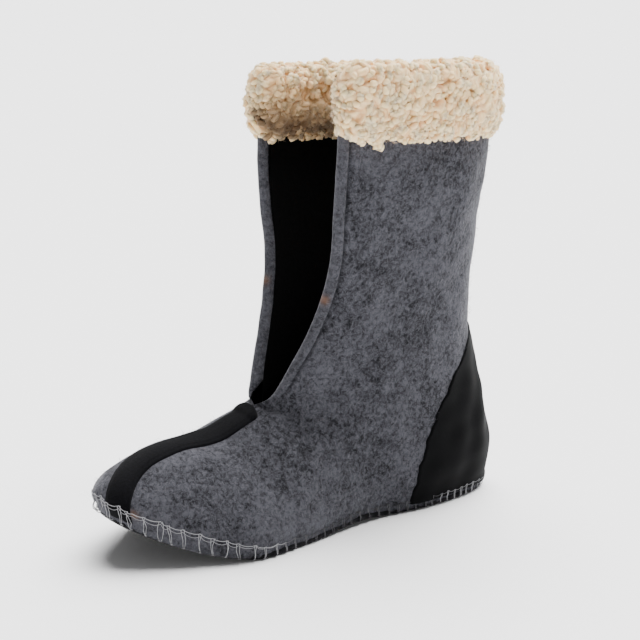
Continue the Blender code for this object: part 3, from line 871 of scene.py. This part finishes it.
def build_patch():
    """Nylon over the heel: levels up the back, each from one front edge round to the other."""
    share = np.linspace(0, 1, 2000)
    back = leg_oval(np.maximum(PATCH_HEIGHT * share - SEAM_BAND, 0))[0]
    top = share[np.argmax(patch_front(share) < back + 0.0004)]
    share = np.concatenate([[0, 0.0001], np.linspace(0.004, top, PATCH_LEVELS)])
    rows, edge_left = [], []
    for t, end in zip(share, patch_front(share)):
        wander = (0.0007 * math.sin(t * 41) + 0.0004 * math.sin(t * 97)) * min(1, 4 * (top - t))
        points, left = ring(PATCH_HEIGHT * t - SEAM_BAND + 0.0008, 0, PATCH_COLUMNS, end + wander)
        rows.append(points)
        edge_left.append(left)
    points, left = np.stack(rows), np.stack(edge_left)
    edge = ramp(left, -0.0003, 0.0012)
    around = np.linspace(-1, 1, points.shape[1])[None]
    folds = 0.0005 * bump(around, 0.38, 0.07) * ramp(share, 0.0, 0.3)[:, None]
    folds = folds - 0.0004 * bump(around + 0.12 * share[:, None], 0.55, 0.05)
    folds = folds + 0.0003 * bump(around - 0.1 * share[:, None], -0.40, 0.08)
    folds = folds + 0.00016 * wave_noise(points[..., 0], points[..., 1], points[..., 2] * 0.35, 0.018, 9)
    lift = 0.0002 + edge * (PATCH + folds)
    raised, _ = on_skin(points, np.maximum(lift, 0.0002))
    return grid_object("nylon_patch", raised, nylon_finish)


def build_overlock():
    """Thread sewn over the sole's edge: bars from the sole up onto the felt, tied along the top."""
    around, outward, length = outline_walk(SEAM_POINTS)
    seeded = np.random.default_rng(21)
    pitch = STITCH_AT_HEEL + (STITCH_AT_TOE - STITCH_AT_HEEL) * ramp(HEEL_BACK - around[:, 1], 0.05, 0.12)
    counted = np.concatenate([[0], np.cumsum(length / SEAM_POINTS / pitch)])
    stitches = int(counted[-1])
    wanted = (np.arange(stitches) + seeded.uniform(-0.13, 0.13, stitches)) * counted[-1] / stitches
    index = np.interp(wanted, counted, np.arange(SEAM_POINTS + 1)).astype(int) % SEAM_POINTS
    base, out = around[index], outward[index]
    station = HEEL_BACK - base[:, 1]
    side = np.stack([-out[:, 1], out[:, 0], 0 * out[:, 0]], axis=-1)
    toe = ramp(station, 0.185, 0.235)
    waist = ramp(station, 0.045, 0.070) * (1 - ramp(station, 0.165, 0.20))
    tall = 0.0078 + 0.0052 * toe + seeded.uniform(-0.0007, 0.0007, stitches)
    skew = seeded.uniform(-0.0010, 0.0010, stitches) + 0.0012 * toe * seeded.uniform(-1, 1, stitches)
    steps = np.linspace(0, 1, STRAND_POINTS)
    paths, radii, greyed = [], [], []
    rise = sole_rise(np.clip(station, 0, FOOT_LENGTH))
    for strand in (-1, 1):
        gap = 0.00045 + 0.0005 * toe * seeded.uniform(0, 1, stitches)
        for k in range(stitches):
            bow = np.sin(steps * np.pi) * (0.0006 * seeded.uniform(-1, 1) * (1 + 2 * toe[k]))
            across = strand * gap[k] * (0.4 + steps) + skew[k] * steps + bow
            up = rise[k] + 0.0004 + steps * (tall[k] - 0.0004)
            under = np.clip(1 - steps * 5, 0, 1)
            proud = 0.0004 - 0.0030 * under**2
            line = base[k] + out[k] * proud[:, None] + side[k] * across[:, None]
            line[:, 2] = up
            paths.append(line)
            radii.append(np.full(STRAND_POINTS, THREAD))
            # greyer toward the foot's waist
            greyed.append(np.full(STRAND_POINTS, 0.75 * waist[k]))
    tops = base + side * skew[:, None]
    tops[:, 2] = rise + tall
    for lane in (0.0, 0.0009):
        after = np.roll(tops, -1, axis=0)
        for k in range(stitches):
            sag = np.sin(steps * np.pi) ** 0.7 * (0.0010 + 0.0008 * lane / 0.0009 * toe[k])
            line = tops[k] + (after[k] - tops[k]) * steps[:, None]
            line[:, 2] -= sag + lane * toe[k] * 1.6
            paths.append(line)
            radii.append(np.full(STRAND_POINTS, THREAD_LANE))
            greyed.append(np.full(STRAND_POINTS, 0.70 * waist[k] + (0.25 if lane else 0)))
    paths = np.stack(paths)
    low = paths[..., 2] - sole_rise(np.clip(HEEL_BACK - paths[..., 1], 0, FOOT_LENGTH))
    snapped, _ = on_skin(paths, 0.0006)
    weight = ramp(low, SOLE - 0.0005, SOLE + 0.0018)[..., None]
    patch_zone = (1 - ramp(HEEL_BACK - paths[..., 1], 0.055, 0.070))[..., None]
    away = unit(snapped - np.array([0, 0.05, 0.02])) * [1, 1, 0]
    snapped = snapped + away * 0.0011 * patch_zone
    station_here = HEEL_BACK - snapped[..., 1]
    beside = np.abs(snapped[..., 0] - strip_line(station_here))
    over_strip = ramp(station_here, 0.255, 0.262) * (beside < STRIP_WIDTH / 2 + 0.001)
    snapped = snapped + away * (0.0016 * over_strip)[..., None]
    paths = paths * (1 - weight) + snapped * weight
    points, faces = tubes(paths, np.stack(radii), STRAND_SIDES)
    thing = mesh_object("overlock_thread", points, faces, thread_finish)
    attribute(thing, "greyed", np.repeat(np.stack(greyed).ravel(), STRAND_SIDES))
    return thing


strip = build_strip()
patch = build_patch()
overlock = build_overlock()


# Pile cuff


def billow(points, size, salt):
    """Rounded lumps parted by thin creases: the size of smooth noise, its sign dropped."""
    x, y, z = points[..., 0], points[..., 1], points[..., 2] * 0.62
    return np.clip(np.abs(wave_noise(x, y, z, size, salt, 5)) / 1.5, 0, 1)


def cuff_path():
    """Middle of the felt's wall along the collar: places, outward, forward, and way walked."""
    around, _ = ring(SHAFT_HEIGHT, 0, 300)
    forward = unit(np.gradient(around, axis=0) * [1, 1, 0])
    outward = np.stack([forward[:, 1], -forward[:, 0], 0 * forward[:, 0]], axis=-1)
    centre = around - outward * FELT / 2
    return centre, outward, forward, walk(centre)


def pile_relief(points):
    """Height of the pile from 0 in a crease to 1: lumps of three sizes, bent so that they curl."""
    x, y, z = points[..., 0], points[..., 1], points[..., 2]
    bent = points + 0.0022 * np.stack([wave_noise(x, y, z, 0.011, 40 + k) for k in range(3)], axis=-1)
    large = billow(bent, 0.019, 51) ** 0.6
    middle = billow(bent, 0.0105, 52) ** 0.7
    small = billow(bent, 0.005, 53)
    return 0.38 * large + 0.44 * middle + 0.18 * small


def build_cuff():
    """The pile's roll: a squarish oval carried along the collar, rounded at both free ends."""
    centre, outward, forward, walked = cuff_path()
    length = walked[-1] + 2 * CUFF_OVERHANG
    tip = CUFF_END_ROUND * (1 - np.cos(np.linspace(0, np.pi / 2, 25)))
    straight = np.linspace(CUFF_END_ROUND, length - CUFF_END_ROUND, 592)[1:-1]
    from_start = np.concatenate([tip, straight, (length - tip)[::-1]])
    u = from_start - CUFF_OVERHANG + 0.0045 * (1 - ramp(from_start, 0, 0.05))
    spine = along(centre, walked, u)
    out = unit(along(outward, walked, u))
    spine = spine + np.minimum(u, 0)[:, None] * forward[0]
    spine = spine + np.maximum(u - walked[-1], 0)[:, None] * forward[-1]
    shrink = round_end(np.minimum(from_start, length - from_start), CUFF_END_ROUND, 2.0)
    fine = np.linspace(0, 2 * np.pi, 6001)
    half_thick, half_tall = FELT / 2 + CUFF_PILE - 0.0022, CUFF_HEIGHT / 2 - 0.0022
    across = np.sign(np.cos(fine)) * np.abs(np.cos(fine)) ** CUFF_SQUARENESS * half_thick
    tall = np.sign(np.sin(fine)) * np.abs(np.sin(fine)) ** CUFF_SQUARENESS * half_tall
    oval = np.stack([across, tall], axis=-1)
    around = walk(oval)
    across, tall = along(oval, around, np.linspace(0, around[-1], CUFF_COLUMNS + 1)[:-1]).T
    lift = spine[:, 2] + CUFF_TOP_PILE - CUFF_HEIGHT / 2
    base = spine[:, None] + out[:, None] * (across * shrink[:, None])[..., None]
    base[..., 2] = lift[:, None] + tall * (0.25 + 0.75 * shrink[:, None])
    section = out[:, None] * (across / half_thick**2)[None, :, None]
    section = section + np.array([0, 0, 1.0]) * (tall / half_tall**2)[None, :, None]
    ahead = np.where((u < length / 2)[:, None], -forward[0], forward[-1])
    normal = unit(unit(section) * shrink[:, None, None] + (ahead * np.sqrt(1 - shrink**2)[:, None])[:, None])
    pile = pile_relief(base)
    calm = 0.3 + 0.7 * ramp(np.minimum(from_start, length - from_start), 0, 0.006)
    points = base + normal * (calm[:, None] * 0.0050 * pile - 0.0012)[..., None]
    cuff = grid_object("pile_cuff", points, pile_finish, wrap=True, weld=1e-6)
    # painted shade: darker on the inner, lower face of the roll, inside the boot
    inward = np.clip(-across / half_thick, 0, 1)
    low = 1 - ramp(tall / half_tall, -0.9, 0.7)
    shade = ramp(inward, 0.3, 0.9) * low
    # painted shade: the pile's height, low in its creases, sets how dark the colour is drawn there
    attribute(cuff, "crease_light", np.clip(pile * 1.1 - 0.10, 0, 1))
    attribute(cuff, "shade", np.broadcast_to(shade, pile.shape))
    return points, normal, np.broadcast_to(shade, pile.shape), cuff


cuff_points, cuff_normals, cuff_shade, cuff = build_cuff()


def build_pile_curls():
    """Small locks lying on the pile: short thick arcs, mostly combed down, their ends sunk in it.

    The first few hang from its lower outer edge near the throat, where columns 120 and 126 run. Their
    rows are looked up from their way along the roll.
    """
    seeded = np.random.default_rng(17)
    rows, columns = cuff_points.shape[:2]
    count, hanging = CURLS, HANGING_CURLS
    row, column = seeded.integers(1, rows - 1, count), seeded.integers(0, columns, count)
    places = np.repeat([0.006, 0.031], hanging // 2) + seeded.uniform(-0.002, 0.002, hanging)
    row[:hanging] = np.interp(places, [0, 0.013, 0.36], [0, 24, 616])
    column[:hanging] = np.where(np.arange(hanging) % 2, 120, 126)
    root, normal = cuff_points[row, column], cuff_normals[row, column]
    comb = np.array([0, 0, -1.0]) + seeded.normal(size=(count, 3)) * 0.75
    lie = unit(comb - normal * np.sum(comb * normal, axis=1)[:, None])
    side = np.cross(normal, lie)
    t = np.linspace(0, 1, CURL_POINTS)
    reach = seeded.uniform(0.0034, 0.0070, count)
    curl = seeded.uniform(0.4, 2.0, count) * seeded.choice([-1, 1], count)
    angle = curl[:, None] * t
    forward = reach[:, None] * np.sin(angle) / curl[:, None]
    aside = reach[:, None] * (1 - np.cos(angle)) / curl[:, None]
    rise = 0.0009 * np.sin(np.pi * t) - 0.0012
    rise = rise[None] * seeded.uniform(0.6, 1.5, count)[:, None]
    rise[:hanging] += 0.0008 * t
    paths = root[:, None] + lie[:, None] * forward[..., None]
    paths = paths + side[:, None] * aside[..., None] + normal[:, None] * rise[..., None]
    paths[:hanging, :, 2] -= 0.0036 * t
    thick = seeded.uniform(0.0014, 0.0023, count)[:, None] * np.sqrt(1 - 0.96 * np.abs(2 * t - 1) ** 3)
    points, faces = tubes(paths, thick, CURL_SIDES)
    points = points + 0.00020 * wave_noise(points[:, 0], points[:, 1], points[:, 2], 0.0024, 71)[:, None]
    curls = mesh_object("pile_curls", points, faces, pile_finish)
    # random paleness of each curl, with painted shade toward its sunk ends
    tone_and_light = seeded.uniform(0.5, 1.0, count)[:, None] * (0.55 + 0.45 * np.sin(np.pi * t))
    attribute(curls, "crease_light", np.repeat(tone_and_light.ravel(), CURL_SIDES))
    attribute(curls, "shade", np.repeat(cuff_shade[row, column], CURL_POINTS * CURL_SIDES))
    return curls


def build_pile_fibres():
    """Loose curled fibres standing from the pile, thinner at their tips."""
    seeded = np.random.default_rng(5)
    rows, columns = cuff_points.shape[:2]
    count = FIBRES
    row = seeded.integers(1, rows - 1, count)
    column = seeded.integers(0, columns, count)
    root, normal = cuff_points[row, column], cuff_normals[row, column]
    tangent = unit(np.cross(normal, seeded.normal(size=(count, 3))))
    side = np.cross(normal, tangent)
    t = np.linspace(0, 1, FIBRE_POINTS)
    reach = seeded.uniform(0.0010, 0.0030, count)
    curl = seeded.uniform(1.5, 4.5, count)
    wide = seeded.uniform(0.0006, 0.0014, count)
    angle = curl[:, None] * t
    paths = root[:, None] + normal[:, None] * (reach[:, None] * t)[..., None]
    paths = paths + tangent[:, None] * (wide[:, None] * np.sin(angle))[..., None]
    paths = paths + side[:, None] * (wide[:, None] * (1 - np.cos(angle)))[..., None]
    points, faces = tubes(paths, 0.00010 * (1 - 0.7 * t)[None], FINE_SIDES)
    fibres = mesh_object("pile_fibres", points, faces, pile_finish)
    attribute(fibres, "crease_light", np.full(len(points), 0.9))
    attribute(fibres, "shade", np.repeat(cuff_shade[row, column], FIBRE_POINTS * FINE_SIDES))
    return fibres


pile_curls = build_pile_curls()
pile_fibres = build_pile_fibres()


def build_felt_fuzz():
    """Stray wool hairs on the felt: short thin bent hairs, a few of them longer."""
    seeded = np.random.default_rng(8)
    rows, columns = skin_points.shape[:2]
    count = HAIRS
    row = seeded.integers(4, rows - 2, count)
    column = seeded.integers(EDGE_COLUMNS + 1, columns - EDGE_COLUMNS - 1, count)
    station, aside = HEEL_BACK - skin_points[row, column, 1], skin_points[row, column, 0]
    share = np.clip(skin_points[row, column, 2] / PATCH_HEIGHT, 0, 1)
    on_patch = station < patch_front(share) + 0.003
    in_front = station > THROAT_STATION * FOOT_LENGTH
    on_strip = in_front & (np.abs(aside - strip_line(station)) < STRIP_WIDTH / 2 + 0.002)
    bare = ~(on_patch | on_strip)
    row, column, count = row[bare], column[bare], int(bare.sum())
    normals = grid_normals(skin_points)
    root, normal = skin_points[row, column], normals[row, column]
    away = (root - [0, 0.07, 0.1]) * [1, 0.3, 0]
    normal = normal * np.where(np.sum(normal * away, axis=1) < 0, -1, 1)[:, None]
    tangent = unit(np.cross(normal, seeded.normal(size=(count, 3))))
    side = np.cross(normal, tangent)
    t = np.linspace(0, 1, HAIR_POINTS)
    reach = seeded.uniform(0.0008, 0.0022, count) * np.where(np.arange(count) % 60 == 0, 2.2, 1)
    angle = seeded.uniform(1.0, 3.2, count)[:, None] * t
    paths = root[:, None] + normal[:, None] * (reach[:, None] * np.sin(angle * 0.6))[..., None]
    paths = paths + tangent[:, None] * (reach[:, None] * t)[..., None]
    paths = paths + side[:, None] * (reach[:, None] * 0.5 * (1 - np.cos(angle)))[..., None]
    points, faces = tubes(paths, 0.00007 * (1 - 0.5 * t)[None], FINE_SIDES)
    return mesh_object("felt_fuzz", points, faces, felt_finish)


felt_fuzz = build_felt_fuzz()


# What stands for what


STANDS_FOR = (
    # piece, solid, material slot
    (skin, "upper", "grey_felt"),
    (sole, "sole", "dark_felt"),
    (strip, "vamp_strip", "black_tape"),
    (patch, "heel_patch", "black_nylon"),
    (cuff, "cuff", "cream_pile"),
)
ADDED = (
    # piece, material slot
    (lining, "black_tape"),
    (insole, "black_tape"),
    (overlock, "grey_felt"),
    (felt_fuzz, "grey_felt"),
    (pile_curls, "cream_pile"),
    (pile_fibres, "cream_pile"),
)
for piece, node, slot in STANDS_FOR:
    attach(piece, "root")
    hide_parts(node)
for piece, slot in ADDED:
    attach(piece, "root")


# Floor, light and camera


def build_floor():
    """Matt white card, level and wide, a very little uneven in tone and faintly lit of itself."""
    made, tree, shader = new_material("pale studio floor")
    where = add(tree, "ShaderNodeTexCoord", "Object")
    faint = add(tree, "ShaderNodeTexNoise", Vector=where, Scale=0.8, Detail=2.0)
    dark, pale = linear("f8f8f9"), linear("fbfbfb")
    colour = add(tree, "ShaderNodeMix", 2, data_type="RGBA", i0=faint, i6=dark, i7=pale)
    tree.links.new(colour, shader.inputs["Base Color"])
    shader.inputs["Roughness"].default_value = 0.9
    shader.inputs["Specular IOR Level"].default_value = 0.1
    shader.inputs["Emission Color"].default_value = (1, 1, 1, 1)
    shader.inputs["Emission Strength"].default_value = 0.03
    corners = [(x * FLOOR_REACH, y * FLOOR_REACH, 0) for x, y in ((-1, -1), (1, -1), (1, 1), (-1, 1))]
    floor = mesh_object("floor", corners, [(0, 1, 2, 3)], made)


def build_light():
    """A white room that is brighter behind the boot, and one broad soft lamp above it."""
    world = bpy.data.worlds.new("studio")
    world.use_nodes = True
    tree = world.node_tree
    toward = add(tree, "ShaderNodeTexCoord", "Generated")
    side = ROOM_BRIGHT_SIDE
    behind = add(tree, "ShaderNodeVectorMath", "Value", operation="DOT_PRODUCT", i0=toward, i1=side)
    near, far = ROOM_STRENGTH
    strength = add(
        tree, "ShaderNodeMapRange", Value=behind, From_Min=-0.6, From_Max=0.9, To_Min=near, To_Max=far
    )
    tree.links.new(strength, tree.nodes["Background"].inputs["Strength"])
    bpy.context.scene.world = world
    sun = bpy.data.lights.new("overhead softbox", "SUN")
    sun.energy = SUN_STRENGTH
    sun.angle = math.radians(SUN_SPREAD)
    lamp = bpy.data.objects.new("overhead softbox", sun)
    lamp.rotation_euler = Vector(SUN_FROM).to_track_quat("Z", "Y").to_euler()
    bpy.context.scene.collection.objects.link(lamp)


def build_camera():
    """A long lens at the photograph's side, height and distance."""
    azimuth = math.radians(CAMERA_AZIMUTH)
    camera = bpy.data.objects.new("camera", bpy.data.cameras.new("camera"))
    x = math.sin(azimuth) * CAMERA_DISTANCE
    y = -math.cos(azimuth) * CAMERA_DISTANCE + CAMERA_SIDE
    camera.location = (x, y, CAMERA_HEIGHT)
    toward = Vector(CAMERA_AIM) - camera.location
    camera.rotation_euler = toward.to_track_quat("-Z", "Y").to_euler()
    camera.data.lens = CAMERA_LENS
    camera.data.sensor_width = 36
    bpy.context.scene.collection.objects.link(camera)
    bpy.context.scene.camera = camera


build_floor()
build_light()
build_camera()
